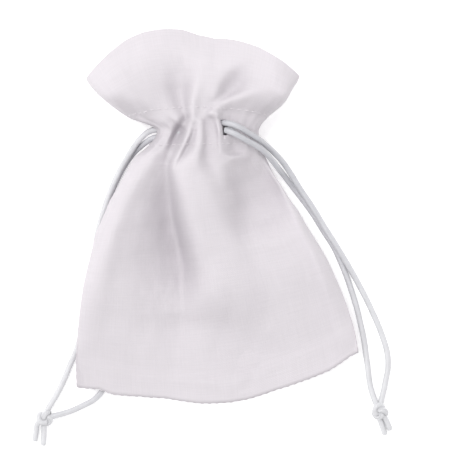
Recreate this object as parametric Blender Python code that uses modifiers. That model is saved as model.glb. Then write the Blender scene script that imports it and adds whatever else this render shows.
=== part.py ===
"""Drawstring gift pouch, empty, closed at the neck and lying on its back.

A woven bag of two panels, sewn at the sides and the bottom. Its top edge is folded inside as a
facing, and two stitch rows through panel and facing make the casing. Two satin cords run right
round inside the casing. One leaves it at the right, one at the left, and each ends in a knot.

Metres. +X to the pouch's right, +Y from the bottom seam to the frill, +Z up from the table.
The origin is on the table, under the middle of the pouch.
"""

import math
from collections import namedtuple

import bmesh
import bpy
from mathutils import Vector

MM = 0.001

# The cloth, drawn thicker than the real 0.25 mm so that each ply is a solid
PLY = 0.8 * MM
ALLOWANCE_PLY = 0.5 * MM
AIR = 0.3 * MM
SEAM_GAP = 2.8 * MM  # between the outer faces of front and back at the rims
FLAT_SHARE = 0.30  # of the half width, where the back rests on the table

# The neck, measured along the pouch
CASING_LOW = 23.6 * MM
CASING_HIGH = 33.6 * MM
CASING_MIDDLE = (CASING_LOW + CASING_HIGH) / 2
STITCH_GAP = 0.55 * MM  # from a stitch row to the cloth on each side of it
SLIT = (0.30, 0.50)  # the right exit slit, in shares of the half width
BOTTOM = -52.4 * MM
FRILL_EDGE = 46.3 * MM

# Cords and threads
CORD_RADIUS = 1.0 * MM
CORD_STEP = 6.5 * MM
LOOP_OFFSET = 1.25 * MM  # each loop's distance from the middle of the casing
THREAD_RADIUS = 0.2 * MM
THREAD_STEP = 3.2 * MM
TACK = 1.5 * MM

# Seam allowances inside the pouch
ALLOWANCE = 8.0 * MM
ALLOWANCE_START = 1.5 * MM

# Where the pieces move
HINGE = Vector((0.0, -64.3 * MM, 1.4 * MM))
RIGHT_KNOT = Vector((53.0, -72.1, 2.7)) * MM
LEFT_KNOT = Vector((-60.2, -61.9, 2.7)) * MM
KNOT_RADII = Vector((3.0, 2.8, 2.5)) * MM

FRONT = 1
BACK = -1

# One cross-section across the pouch at each "along", in mm: the rims' x, how much lower the right
# rim lies than the left (tilt), how far the middle runs ahead of the rims (bow), how high the back
# panel's rims are lifted, the height of the dome between them, and how round the section is
Section = namedtuple("Section", "along left right tilt bow lift dome roundness")
SECTIONS = [
    Section(-52.4, -48.1, 48.1, 0.0, -11.9, 4.8, 0.2, 0.0),
    Section(-40.0, -46.6, 46.8, 0.0, -8.5, 5.4, 4.5, 0.0),
    Section(-20.0, -42.1, 41.3, 0.0, -3.5, 5.8, 10.0, 0.0),
    Section(-2.0, -35.6, 33.3, 0.0, -0.5, 6.2, 14.0, 0.1),
    Section(8.0, -29.5, 28.5, -1.2, 0.0, 6.7, 16.0, 0.3),
    Section(15.0, -24.1, 25.5, -2.0, 0.0, 7.3, 17.0, 0.5),
    Section(20.5, -19.6, 24.1, -3.0, 0.0, 7.6, 17.2, 0.75),
    Section(24.5, -13.4, 23.4, -3.6, 0.0, 8.3, 17.2, 0.9),
    Section(28.6, -11.4, 23.4, -4.3, 0.0, 8.6, 17.2, 1.0),
    Section(32.6, -19.5, 26.5, -5.4, 2.0, 8.2, 17.6, 0.9),
    Section(37.0, -25.0, 32.6, -6.0, 6.5, 7.2, 18.0, 0.6),
    Section(42.0, -29.8, 36.3, -6.5, 12.0, 6.0, 16.0, 0.4),
    Section(46.3, -32.6, 39.0, -7.7, 18.0, 5.0, 10.0, 0.2),
]

# The cords' free strands, from the exit to the knot, in mm
RIGHT_OUTER_STRAND = [
    (11.6, 29.9, 18.6), (13.6, 29.5, 20.3), (16.8, 27.8, 20.9), (21.8, 24.0, 17.0),
    (24.9, 21.1, 12.6), (27.6, 18.1, 9.2), (31.0, 13.2, 5.6), (34.6, 5.6, 3.6),
    (38.2, -1.4, 3.45), (42.1, -9.9, 3.45), (45.6, -17.2, 3.3), (48.8, -24.4, 1.9),
    (50.9, -29.4, 1.1), (54.3, -38.8, 1.05), (56.6, -46.8, 1.05), (57.8, -52.9, 1.05),
    (57.6, -58.6, 1.05), (56.3, -62.9, 1.1), (55.2, -66.2, 1.5), (54.2, -68.8, 2.1),
]
RIGHT_INNER_STRAND = [
    (12.2, 27.4, 19.4), (14.6, 26.1, 21.2), (18.7, 23.2, 19.5), (21.6, 21.2, 16.9),
    (24.0, 19.1, 14.6), (26.2, 16.2, 11.4), (28.0, 13.3, 8.0), (30.0, 10.2, 4.2),
    (33.0, 5.2, 1.4), (37.2, -1.9, 1.05), (41.3, -10.3, 1.05), (44.4, -17.0, 1.05),
    (46.6, -24.2, 1.05), (48.6, -33.0, 1.05), (49.9, -41.7, 1.05), (50.5, -48.6, 1.05),
    (50.7, -55.4, 1.05), (50.7, -62.3, 1.05), (51.1, -66.2, 1.5), (51.6, -68.8, 2.1),
]
LEFT_OUTER_STRAND = [
    (-9.9, 30.4, 10.0), (-13.2, 30.3, 10.3), (-16.5, 28.3, 10.9), (-19.8, 25.0, 7.8),
    (-23.4, 20.6, 4.9), (-26.4, 16.2, 3.8), (-29.3, 11.2, 3.5), (-31.8, 6.0, 3.4),
    (-34.2, 0.4, 2.6), (-36.4, -6.5, 1.2), (-38.2, -13.5, 1.05), (-40.8, -22.5, 1.05),
    (-43.4, -31.5, 1.05), (-46.4, -39.5, 1.05), (-49.7, -45.4, 1.05), (-52.4, -50.2, 1.05),
    (-55.4, -54.9, 1.3), (-58.6, -58.9, 2.1),
]
LEFT_INNER_STRAND = [
    (-9.9, 27.9, 10.0), (-12.9, 27.7, 10.4), (-15.9, 26.2, 8.9), (-19.6, 23.6, 5.0),
    (-23.3, 19.8, 2.4), (-26.1, 15.8, 1.3), (-29.0, 10.9, 1.05), (-31.0, 5.6, 1.05),
    (-32.6, -1.5, 1.05), (-34.4, -11.0, 1.05), (-35.8, -22.0, 1.05), (-36.6, -34.0, 1.05),
    (-37.2, -45.0, 1.05), (-38.8, -53.4, 1.05), (-42.4, -57.6, 1.05), (-47.9, -59.9, 1.05),
    (-52.8, -61.2, 1.3), (-56.7, -61.8, 2.1),
]
TAILS = {
    "right_tail_long": [(52.6, -75.3, 1.9), (53.0, -77.2, 1.3), (53.9, -81.4, 1.05)],
    "right_tail_short": [(55.0, -74.9, 1.9), (55.7, -76.6, 1.3), (56.4, -80.0, 1.05)],
    "left_tail_long": [(-60.8, -65.2, 1.9), (-61.1, -67.0, 1.3), (-61.9, -71.4, 1.05)],
    "left_tail_short": [(-63.1, -64.0, 1.9), (-63.7, -66.0, 1.3), (-64.6, -69.6, 1.05)],
}

# Colour, roughness and metallic value of each kind of piece
FINISHES = {
    "cloth": ((0.86, 0.83, 0.86), 0.85, 0.0),
    "facing": ((0.88, 0.86, 0.88), 0.85, 0.0),
    "allowance": ((0.90, 0.88, 0.90), 0.88, 0.0),
    "thread": ((0.90, 0.90, 0.90), 0.6, 0.0),
    "cord": ((0.80, 0.80, 0.82), 0.35, 0.0),
}


def clear_scene():
    for obj in list(bpy.data.objects):
        bpy.data.objects.remove(obj, do_unlink=True)
    collection = bpy.data.collections.new("drawstring_gift_pouch")
    bpy.context.scene.collection.children.link(collection)
    return collection


COLLECTION = clear_scene()


def material_for(name, kind):
    color, roughness, metallic = FINISHES[kind]
    material = bpy.data.materials.new(f"{name}_{kind}")
    material.use_nodes = True
    shader = material.node_tree.nodes["Principled BSDF"]
    shader.inputs["Base Color"].default_value = (*color, 1.0)
    shader.inputs["Roughness"].default_value = roughness
    shader.inputs["Metallic"].default_value = metallic
    return material


def add_object(name, data, kind, pivot):
    """Adds the piece to the collection; data holds the pouch's own coordinates."""
    obj = bpy.data.objects.new(name, data)
    COLLECTION.objects.link(obj)
    data.materials.append(material_for(name, kind))
    if pivot is not None:
        obj.parent = pivot
        obj.location = -pivot.location
    return obj


def add_pivot(name, location):
    pivot = bpy.data.objects.new(name, None)
    pivot.location = location
    COLLECTION.objects.link(pivot)
    return pivot


# ---- The pouch's outer form ----


def blend_curve(before, start, end, after, share):
    """A Catmull-Rom step from start to end, so that the sections join smoothly."""
    return 0.5 * (
        2 * start
        + (end - before) * share
        + (2 * before - 5 * start + 4 * end - after) * share**2
        + (3 * start - before - 3 * end + after) * share**3
    )


def section_at(along):
    """The cross-section at a place along the pouch, in metres."""
    along_mm = min(max(along / MM, SECTIONS[0].along), SECTIONS[-1].along)
    last = len(SECTIONS) - 1
    index = max(i for i in range(last) if SECTIONS[i].along <= along_mm)
    start, end = SECTIONS[index], SECTIONS[index + 1]
    before = SECTIONS[max(index - 1, 0)]
    after = SECTIONS[min(index + 2, last)]
    share = (along_mm - start.along) / (end.along - start.along)
    values = [
        blend_curve(before[i], start[i], end[i], after[i], share)
        for i in range(1, len(start))
    ]
    lengths = [value * MM for value in values[:-1]]
    return Section(along, *lengths, values[-1])


def back_height(section, across):
    """Height of the back panel's outer face: flat on the table, then curving up to the rim."""
    rise = max(0.0, (abs(across) - FLAT_SHARE) / (1 - FLAT_SHARE))
    power = 1.6 + 0.4 * section.roundness
    root = 1.1 + 0.9 * section.roundness
    return section.lift * (1 - max(0.0, 1 - rise**power) ** (1 / root))


def outer_point(side, across, along):
    """A point of the outer face. across runs from -1 at the left rim to 1 at the right."""
    section = section_at(along)
    middle = (section.left + section.right) / 2
    half = (section.right - section.left) / 2
    height = back_height(section, across)
    if side == FRONT:
        power = 2.0 + 0.5 * section.roundness
        root = 0.75 - 0.25 * section.roundness
        height += SEAM_GAP + section.dome * max(0.0, 1 - abs(across) ** power) ** root
    ahead = section.tilt * across / 2 + section.bow * (1 - across**2)
    return Vector((middle + half * across, along + ahead, height))


def inset_point(side, across, along, inset):
    """The point of the outer face moved square to it, into the pouch."""
    step_across, step_along = 0.01, 0.1 * MM
    low, high = max(across - step_across, -1), min(across + step_across, 1)
    run = outer_point(side, high, along) - outer_point(side, low, along)
    start, end = max(along - step_along, BOTTOM), min(along + step_along, FRILL_EDGE)
    rise = outer_point(side, across, end) - outer_point(side, across, start)
    outward = run.cross(rise).normalized() * side
    return outer_point(side, across, along) - outward * inset


def seam_point(across, along):
    """A point midway between front and back, which at the rims is on the seam."""
    return (outer_point(FRONT, across, along) + outer_point(BACK, across, along)) / 2


# ---- Cloth ----


def shares(count):
    return [i / count for i in range(count + 1)]


def add_sheet(name, place, columns, rows, thickness, side, kind, pivot=None, centred=False):
    """A ply of cloth: an open surface over place(share across, share along), made solid."""
    mesh = bpy.data.meshes.new(name)
    grid = bmesh.new()
    points = [
        [grid.verts.new(place(i, j)) for i in shares(columns)] for j in shares(rows)
    ]
    for low, high in zip(points, points[1:]):
        for i in range(columns):
            corners = [low[i], low[i + 1], high[i + 1], high[i]]
            grid.faces.new(corners if side == FRONT else corners[::-1])
    grid.to_mesh(mesh)
    grid.free()
    mesh.shade_smooth()
    sheet = add_object(name, mesh, kind, pivot)
    solid = sheet.modifiers.new("ply", "SOLIDIFY")
    solid.thickness = thickness
    solid.offset = 0 if centred else -1
    return sheet


def add_ply(name, side, across, along, columns, rows, kind, pivot, inset=None):
    """A ply between two places across and two along, at an inset from the outer face."""
    inset = inset or (lambda place: 0.0)
    start = math.asin(across[0])
    sweep = math.asin(across[1]) - start

    def place(i, j):
        here = along[0] + (along[1] - along[0]) * j
        return inset_point(side, math.sin(start + sweep * i), here, inset(here))

    return add_sheet(name, place, columns, rows, PLY, side, kind, pivot)


def facing_inset(along):
    """The facing lies on the outer ply, and stands off it in the casing, where the cords run."""
    close = PLY + AIR
    open_for_cord = PLY + 3 * AIR + 2 * CORD_RADIUS
    ramp = 1.6 * MM
    rise = min(along - CASING_LOW - STITCH_GAP, CASING_HIGH - STITCH_GAP - along) / ramp
    rise = min(max(rise, 0.0), 1.0)
    return close + (open_for_cord - close) * rise**2 * (3 - 2 * rise)


def add_panels(hinge):
    sides = (-1, 1)
    body = (BOTTOM, CASING_LOW - STITCH_GAP)
    casing = (CASING_LOW + STITCH_GAP, CASING_HIGH - STITCH_GAP)
    frill = (CASING_HIGH + STITCH_GAP, FRILL_EDGE)
    facing = (CASING_LOW + STITCH_GAP, FRILL_EDGE - STITCH_GAP)
    facing_sides = (-0.97, 0.97)
    for word, side, pivot in (("back", BACK, None), ("front", FRONT, hinge)):
        add_ply(f"{word}_panel", side, sides, body, 16, 14, "cloth", pivot)
        add_ply(f"{word}_frill", side, sides, frill, 14, 6, "cloth", pivot)
        add_ply(
            f"{word}_facing", side, facing_sides, facing, 14, 14, "facing", pivot, facing_inset
        )
    add_ply("back_casing", BACK, sides, casing, 14, 3, "cloth", None)
    add_ply("front_casing", FRONT, (-1, SLIT[0]), casing, 10, 3, "cloth", hinge)
    add_ply("right_neck_fold", FRONT, (SLIT[1], 1), casing, 6, 3, "cloth", hinge)


def add_allowances():
    """The seams' raw edges, turned inside: one strip along the bottom and one up each side."""
    bottom_share = 0.78
    bottom_start = BOTTOM + 2.0 * MM
    top = CASING_LOW - 5 * MM

    def bottom_place(i, j):
        return seam_point(bottom_share * (2 * i - 1), bottom_start + ALLOWANCE * j)

    add_sheet("bottom_seam_allowance", bottom_place, 12, 2, ALLOWANCE_PLY, BACK, "allowance",
              centred=True)
    for word, sign in (("left", -1), ("right", 1)):

        def side_place(i, j, sign=sign):
            along = bottom_start + (top - bottom_start) * j
            section = section_at(along)
            half = (section.right - section.left) / 2
            inward = ALLOWANCE_START + (ALLOWANCE - ALLOWANCE_START) * (i if sign < 0 else 1 - i)
            return seam_point(sign * (1 - inward / half), along)

        add_sheet(f"{word}_seam_allowance", side_place, 2, 12, ALLOWANCE_PLY, BACK, "allowance",
                  centred=True)


# ---- Threads, cords and knots ----


def smooth_route(points, step):
    """Points an equal step apart on a smooth curve through the route's own points."""
    ends = [2 * points[0] - points[1], *points, 2 * points[-1] - points[-2]]
    fine = []
    for before, start, end, after in zip(ends, ends[1:], ends[2:], ends[3:]):
        fine += [blend_curve(before, start, end, after, share) for share in shares(12)[:-1]]
    fine.append(points[-1])
    travelled = [0.0]
    for start, end in zip(fine, fine[1:]):
        travelled.append(travelled[-1] + (end - start).length)
    count = max(2, round(travelled[-1] / step))
    route, index = [], 0
    for share in shares(count):
        wanted = share * travelled[-1]
        while index < len(fine) - 2 and travelled[index + 1] < wanted:
            index += 1
        part = (wanted - travelled[index]) / (travelled[index + 1] - travelled[index])
        route.append(fine[index].lerp(fine[index + 1], part))
    return route


def add_tube(name, points, radius, kind, pivot=None, resolution=2):
    curve = bpy.data.curves.new(name, "CURVE")
    curve.dimensions = "3D"
    spline = curve.splines.new("POLY")
    spline.points.add(len(points) - 1)
    for target, point in zip(spline.points, points):
        target.co = (*point, 1.0)
    curve.bevel_depth = radius
    curve.bevel_resolution = resolution
    curve.use_fill_caps = True
    return add_object(name, curve, kind, pivot)


def millimetres(points):
    return [Vector(point) * MM for point in points]


def add_thread(name, points, pivot=None):
    add_tube(name, smooth_route(points, THREAD_STEP), THREAD_RADIUS, "thread", pivot, 1)


def add_stitches(hinge):
    """Thread rows, each between the plies it holds together."""
    middle = PLY / 2
    angles = [math.radians(-86 + 172 * share) for share in shares(16)]
    for word, side, pivot in (("back", BACK, None), ("front", FRONT, hinge)):
        for level, along in (("lower", CASING_LOW), ("upper", CASING_HIGH)):
            row = [inset_point(side, math.sin(angle), along, middle) for angle in angles]
            add_thread(f"{word}_{level}_casing_stitch", row, pivot)
    inward = 0.7 * MM
    stretches = {
        "side": (BOTTOM + 1.5 * MM, CASING_LOW - 2.8 * MM),
        "frill": (CASING_HIGH + 1.5 * MM, FRILL_EDGE - 1.0 * MM),
    }
    for word, sign in (("left", -1), ("right", 1)):
        for stretch, (low, high) in stretches.items():
            row = [seam_point(sign, low + (high - low) * share) for share in shares(14)]
            row = [point - Vector((sign * inward, 0, 0)) for point in row]
            add_thread(f"{word}_{stretch}_stitch", row)
    row = [seam_point(1.9 * share - 0.95, BOTTOM) for share in shares(16)]
    add_thread("bottom_stitch", [point + Vector((0, inward, 0)) for point in row])


def add_tacks(hinge):
    """A bar tack closes the lower end of each slit that a cord leaves by."""
    left = seam_point(-1, CASING_LOW - 0.9 * MM) + Vector((0.9 * MM, 0, 0))
    right = inset_point(FRONT, (SLIT[0] + SLIT[1]) / 2, CASING_LOW + 1.4 * MM, PLY / 2)
    sizes = {
        "left_exit_tack": (left, (TACK, TACK, 1.8 * MM), None),
        "right_exit_tack": (right, (1.7 * TACK, TACK, PLY), hinge),
    }
    for name, (place, size, pivot) in sizes.items():
        mesh = bpy.data.meshes.new(name)
        shape = bmesh.new()
        bmesh.ops.create_cube(shape, size=1.0)
        bmesh.ops.scale(shape, vec=size, verts=shape.verts)
        bmesh.ops.translate(shape, vec=place, verts=shape.verts)
        shape.to_mesh(mesh)
        shape.free()
        tack = add_object(name, mesh, "thread", pivot)
        bevel = tack.modifiers.new("rounded", "BEVEL")
        bevel.width = 0.2 * MM
        bevel.segments = 1


def loop_route(start, end, along, turns):
    """Round the casing's channel, from an angle on one face to an angle on another.

    Angles run from 90 degrees at the right rim, over the front to -90 at the left rim, and on
    under the back to -270, which is the right rim again.
    """
    depth = PLY + AIR + CORD_RADIUS
    route = []
    for share in shares(turns):
        angle = start + (end - start) * share
        side = BACK if -270 < angle < -90 else FRONT
        route.append(inset_point(side, math.sin(math.radians(angle)), along, depth))
    return route


def add_cords(right_pull, left_pull):
    step = 26
    loops = {
        "right_cord_loop": (17, -326, CASING_MIDDLE + LOOP_OFFSET),
        "left_cord_loop": (-106, -434, CASING_MIDDLE - LOOP_OFFSET),
    }
    for name, (start, end, along) in loops.items():
        route = loop_route(start, end, along, step)
        add_tube(name, smooth_route(route, CORD_STEP / 2), CORD_RADIUS, "cord")
    strands = {
        "right_cord_outer_strand": (RIGHT_OUTER_STRAND, right_pull),
        "right_cord_inner_strand": (RIGHT_INNER_STRAND, right_pull),
        "left_cord_outer_strand": (LEFT_OUTER_STRAND, left_pull),
        "left_cord_inner_strand": (LEFT_INNER_STRAND, left_pull),
    }
    for name, (points, pivot) in strands.items():
        route = smooth_route(millimetres(points), CORD_STEP)
        add_tube(name, route, CORD_RADIUS, "cord", pivot)
    for name, points in TAILS.items():
        pivot = right_pull if name.startswith("right") else left_pull
        route = smooth_route(millimetres(points), CORD_STEP / 2)
        add_tube(name, route, CORD_RADIUS, "cord", pivot)
    for name, place, pivot in (
        ("right_knot", RIGHT_KNOT, right_pull),
        ("left_knot", LEFT_KNOT, left_pull),
    ):
        mesh = bpy.data.meshes.new(name)
        shape = bmesh.new()
        bmesh.ops.create_uvsphere(shape, u_segments=12, v_segments=8, radius=1.0)
        bmesh.ops.scale(shape, vec=KNOT_RADII, verts=shape.verts)
        bmesh.ops.translate(shape, vec=place, verts=shape.verts)
        shape.to_mesh(mesh)
        shape.free()
        mesh.shade_smooth()
        add_object(name, mesh, "cord", pivot)


def main():
    hinge = add_pivot("mouth_hinge", HINGE)
    right_pull = add_pivot("right_draw_axis", RIGHT_KNOT)
    left_pull = add_pivot("left_draw_axis", LEFT_KNOT)
    add_panels(hinge)
    add_allowances()
    add_stitches(hinge)
    add_tacks(hinge)
    add_cords(right_pull, left_pull)


main()
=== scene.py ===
"""Visual model of the drawstring gift pouch: gathered cloth, satin cords, stitches and knots.

Lengths are in millimetres in the lists below and in metres once a mesh is made. +X is to the
pouch's right, +Y runs from the bottom seam to the frill and +Z is up from the table.
"""

import math
from collections import namedtuple

import bpy
import numpy as np
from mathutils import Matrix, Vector, noise


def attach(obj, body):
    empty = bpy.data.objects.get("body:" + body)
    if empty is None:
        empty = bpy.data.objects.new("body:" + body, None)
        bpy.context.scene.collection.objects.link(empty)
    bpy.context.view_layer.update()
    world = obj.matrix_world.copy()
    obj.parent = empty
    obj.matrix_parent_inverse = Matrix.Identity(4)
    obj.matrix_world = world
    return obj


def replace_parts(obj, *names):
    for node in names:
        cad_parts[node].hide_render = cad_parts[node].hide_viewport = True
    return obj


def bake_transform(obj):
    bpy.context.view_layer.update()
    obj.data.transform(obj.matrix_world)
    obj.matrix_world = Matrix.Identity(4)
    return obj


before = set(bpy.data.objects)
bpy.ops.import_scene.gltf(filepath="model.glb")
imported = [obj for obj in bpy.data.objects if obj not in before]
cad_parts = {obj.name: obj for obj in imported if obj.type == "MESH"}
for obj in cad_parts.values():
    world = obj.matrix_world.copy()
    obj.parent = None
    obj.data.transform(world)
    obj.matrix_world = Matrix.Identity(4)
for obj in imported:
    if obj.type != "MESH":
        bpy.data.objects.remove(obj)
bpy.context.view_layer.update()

MM = 0.001

# ---- Camera, looking straight down, set before the cords are made ----

VIEW_CENTRE = (8.5, -4.6)
VIEW_WIDTH = 153.7
VIEW_TURN = -0.1169
CAMERA_HEIGHT = 1600.0
SENSOR = 36.0


def link(obj):
    bpy.context.scene.collection.objects.link(obj)
    return obj


def add_camera():
    data = bpy.data.cameras.new("camera")
    data.sensor_width = SENSOR
    data.lens = SENSOR * CAMERA_HEIGHT / VIEW_WIDTH
    data.clip_start = 0.01
    data.clip_end = 10.0
    camera = link(bpy.data.objects.new("camera", data))
    camera.location = Vector((*VIEW_CENTRE, CAMERA_HEIGHT)) * MM
    camera.rotation_euler = (0.0, 0.0, VIEW_TURN)
    bpy.context.scene.camera = camera


add_camera()

# ---- Cords ----

CORD_RADIUS = 1.0
CORD_SIDES = 14
CORD_STEP = 1.3
CORD_RIBS = 3
CORD_RIB_DEPTH = 0.035
CORD_TWIST = 0.55  # radians a millimetre

# The same routes as the CAD strands', from the exit to the knot
STRANDS = {
    "right_cord_outer": [
        (11.6, 29.9, 18.6), (13.6, 29.5, 20.3), (16.8, 27.8, 20.9), (21.8, 24.0, 17.0),
        (24.9, 21.1, 12.6), (27.6, 18.1, 9.2), (31.0, 13.2, 5.6), (34.6, 5.6, 3.6),
        (38.2, -1.4, 3.45), (42.1, -9.9, 3.45), (45.6, -17.2, 3.3), (48.8, -24.4, 1.9),
        (50.9, -29.4, 1.1), (54.3, -38.8, 1.05), (56.6, -46.8, 1.05), (57.8, -52.9, 1.05),
        (57.6, -58.6, 1.05), (56.3, -62.9, 1.1), (55.2, -66.2, 1.5), (54.2, -68.8, 2.1),
    ],
    "right_cord_inner": [
        (12.2, 27.4, 19.4), (14.6, 26.1, 21.2), (18.7, 23.2, 19.5), (21.6, 21.2, 16.9),
        (24.0, 19.1, 14.6), (26.2, 16.2, 11.4), (28.0, 13.3, 8.0), (30.0, 10.2, 4.2),
        (33.0, 5.2, 1.4), (37.2, -1.9, 1.05), (41.3, -10.3, 1.05), (44.4, -17.0, 1.05),
        (46.6, -24.2, 1.05), (48.6, -33.0, 1.05), (49.9, -41.7, 1.05), (50.5, -48.6, 1.05),
        (50.7, -55.4, 1.05), (50.7, -62.3, 1.05), (51.1, -66.2, 1.5), (51.6, -68.8, 2.1),
    ],
    "left_cord_outer": [
        (-9.9, 30.4, 10.0), (-13.2, 30.3, 10.3), (-16.5, 28.3, 10.9), (-19.8, 25.0, 7.8),
        (-23.4, 20.6, 4.9), (-26.4, 16.2, 3.8), (-29.3, 11.2, 3.5), (-31.8, 6.0, 3.4),
        (-34.2, 0.4, 2.6), (-36.4, -6.5, 1.2), (-38.2, -13.5, 1.05), (-40.8, -22.5, 1.05),
        (-43.4, -31.5, 1.05), (-46.4, -39.5, 1.05), (-49.7, -45.4, 1.05), (-52.4, -50.2, 1.05),
        (-55.4, -54.9, 1.3), (-58.6, -58.9, 2.1),
    ],
    "left_cord_inner": [
        (-9.9, 27.9, 10.0), (-12.9, 27.7, 10.4), (-15.9, 26.2, 8.9), (-19.6, 23.6, 5.0),
        (-23.3, 19.8, 2.4), (-26.1, 15.8, 1.3), (-29.0, 10.9, 1.05), (-31.0, 5.6, 1.05),
        (-32.6, -1.5, 1.05), (-34.4, -11.0, 1.05), (-35.8, -22.0, 1.05), (-36.6, -34.0, 1.05),
        (-37.2, -45.0, 1.05), (-38.8, -53.4, 1.05), (-42.4, -57.6, 1.05), (-47.9, -59.9, 1.05),
        (-52.8, -61.2, 1.3), (-56.7, -61.8, 2.1),
    ],
}
# Which point of its route each strand passes the shoulder at: the strand is cut there into an upper
# piece and a lower one
SHOULDER = {
    "right_cord_outer": 7, "right_cord_inner": 8, "left_cord_outer": 7, "left_cord_inner": 7,
}
TAILS = {
    "right_tail_long": [(52.6, -75.3, 1.9), (53.0, -77.2, 1.3), (53.9, -81.4, 1.05)],
    "right_tail_short": [(54.4, -75.4, 1.9), (55.0, -77.0, 1.3), (55.8, -80.0, 1.05)],
    "left_tail_long": [(-60.8, -65.2, 1.9), (-61.1, -67.0, 1.3), (-61.9, -71.4, 1.05)],
    "left_tail_short": [(-63.1, -64.0, 1.9), (-63.7, -66.0, 1.3), (-64.6, -69.6, 1.05)],
}
KNOTS = {"right_knot": (52.9, -73.2, 2.9), "left_knot": (-60.2, -62.2, 2.9)}
KNOT_TURNS = {"right_knot": -0.3, "left_knot": 0.9}
KNOT_SIZE = 1.45  # from the knot's middle to the middle of its loops
KNOT_SWING = 0.72
KNOT_HALF_HEIGHT = 0.85
KNOT_STRETCH = 1.05
KNOT_TIP = 0.55
KNOT_CORD_RADIUS = 0.92
# A strand and a tail go this share of the way into the knot's middle
STRAND_ENTRY = 0.7
TAIL_ENTRY = 0.45
TAIL_RADIUS = 0.95
TAIL_STEP = 0.7
TAIL_TIP = 0.72  # the sealed tip's radius, as a share
# The cord's colour goes by the length from its exit: painted shade darkens it near the exit, and it
# turns paler further on. These strands start further on or further back
SHADE_RAMP_SHIFT = {"left_cord_outer": 75.0, "left_cord_inner": -40.0}
KNOT_FROM = 110.0  # the length of cord from the exit to the knot


def between(before, start, end, after, share):
    """The place at this share of the way from start to end, on a smooth curve through all four."""
    return 0.5 * (
        2 * start
        + (end - before) * share
        + (2 * before - 5 * start + 4 * end - after) * share**2
        + (3 * start - before - 3 * end + after) * share**3
    )


def smooth_line(points, per_span=12):
    """Fine points on a smooth curve through the given ones."""
    points = np.asarray(points, float)
    ends = np.vstack([2 * points[0] - points[1], points, 2 * points[-1] - points[-2]])
    share = np.linspace(0, 1, per_span, endpoint=False)[:, None]
    spans = [between(*four, share) for four in zip(ends, ends[1:], ends[2:], ends[3:])]
    return np.vstack([*spans, points[-1:]])


def travelled(points):
    steps = np.linalg.norm(np.diff(points, axis=0), axis=1)
    return np.concatenate([[0.0], np.cumsum(steps)])


def places_at(line, along, wanted):
    """The places on a line at the wanted lengths along it."""
    return np.stack([np.interp(wanted, along, column) for column in line.T], axis=-1)


def evenly(points, step):
    """The same line with points an equal step apart."""
    along = travelled(points)
    count = max(2, round(along[-1] / step))
    return places_at(points, along, np.linspace(0, along[-1], count + 1))


def mesh_object(name, points, faces, uvs, material):
    """A mesh from points in millimetres, smooth, with a map that holds each point's own place."""
    mesh = bpy.data.meshes.new(name)
    mesh.from_pydata((np.asarray(points) * MM).tolist(), [], faces)
    layer = mesh.uv_layers.new(name="place")
    corners = np.zeros(len(mesh.loops), int)
    mesh.loops.foreach_get("vertex_index", corners)
    layer.data.foreach_set("uv", np.asarray(uvs, float)[corners].ravel())
    mesh.shade_smooth()
    mesh.materials.append(material)
    return link(bpy.data.objects.new(name, mesh))


def grid_faces(rows, count, closed=False):
    """The faces of a grid of rings. If it's closed, the last ring meets the first."""
    faces = []
    for low in range(0, (rows if closed else rows - 1) * count, count):
        high = (low + count) % (rows * count)
        for c in range(count):
            d = (c + 1) % count
            faces.append((low + c, low + d, high + d, high + c))
    return faces


def unit(vectors):
    return vectors / np.maximum(np.linalg.norm(vectors, axis=-1, keepdims=True), 1e-9)


def ring_frames(line):
    """Two directions square to the line at each of its points, turning as little as possible."""
    tangents = unit(np.gradient(line, axis=0))
    start = np.cross(tangents[0], (0.0, 0.0, 1.0))
    if np.linalg.norm(start) < 0.1:
        start = np.cross(tangents[0], (0.0, 1.0, 0.0))
    normals = [unit(start)]
    for tangent in tangents[1:]:
        normals.append(unit(normals[-1] - tangent * (normals[-1] @ tangent)))
    normals = np.array(normals)
    return normals, np.cross(tangents, normals)


def tube(name, line, radius, material, ribs=CORD_RIBS, end_share=1.0, closed=False, keep=None,
         begun=0.0):
    """A stretch of cord with a ring at each point of the line, or at those that are kept of it.

    End_share narrows its end. Begun is how much of the cord has passed before the line starts.
    """
    sides = CORD_SIDES
    normals, sideways = ring_frames(line)
    along = travelled(line)
    if keep is not None:
        line, normals, sideways, along = (x[keep] for x in (line, normals, sideways, along))
    angles = np.linspace(0, 2 * np.pi, sides, endpoint=False)
    radii = np.full((len(line), sides), float(radius))
    if ribs:
        radii *= 1 + CORD_RIB_DEPTH * np.cos(ribs * angles + CORD_TWIST * along[:, None])
    radii[-1] *= end_share
    points = (
        line[:, None]
        + normals[:, None] * (np.cos(angles)[:, None] * radii[..., None])
        + sideways[:, None] * (np.sin(angles)[:, None] * radii[..., None])
    ).reshape(-1, 3)
    uvs = np.stack(
        [np.repeat(along + begun, sides), np.tile(angles / (2 * np.pi), len(line))], axis=1
    )
    faces = grid_faces(len(line), sides, closed)
    if not closed:
        # the end caps have their own points, so that the sides stay smoothly shaded to the end
        first, last = len(points), len(points) + sides
        points = np.vstack([points, points[:sides], points[-sides:]])
        uvs = np.vstack([uvs, uvs[:sides], uvs[-sides:]])
        faces.append(tuple(first + i for i in range(sides))[::-1])
        faces.append(tuple(last + i for i in range(sides)))
    return mesh_object(name, points, faces, uvs, material)


def strand_line(name):
    """The strand's smooth line into its knot, and the place in it where it passes the shoulder."""
    route = np.array(STRANDS[name])
    knot = np.array(KNOTS[name.split("_")[0] + "_knot"])
    route = np.vstack([route, route[-1] + (knot - route[-1]) * STRAND_ENTRY])
    line = evenly(smooth_line(route), CORD_STEP)
    shoulder = np.array(STRANDS[name][SHOULDER[name]])
    return line, int(np.linalg.norm(line - shoulder, axis=1).argmin())


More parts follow.
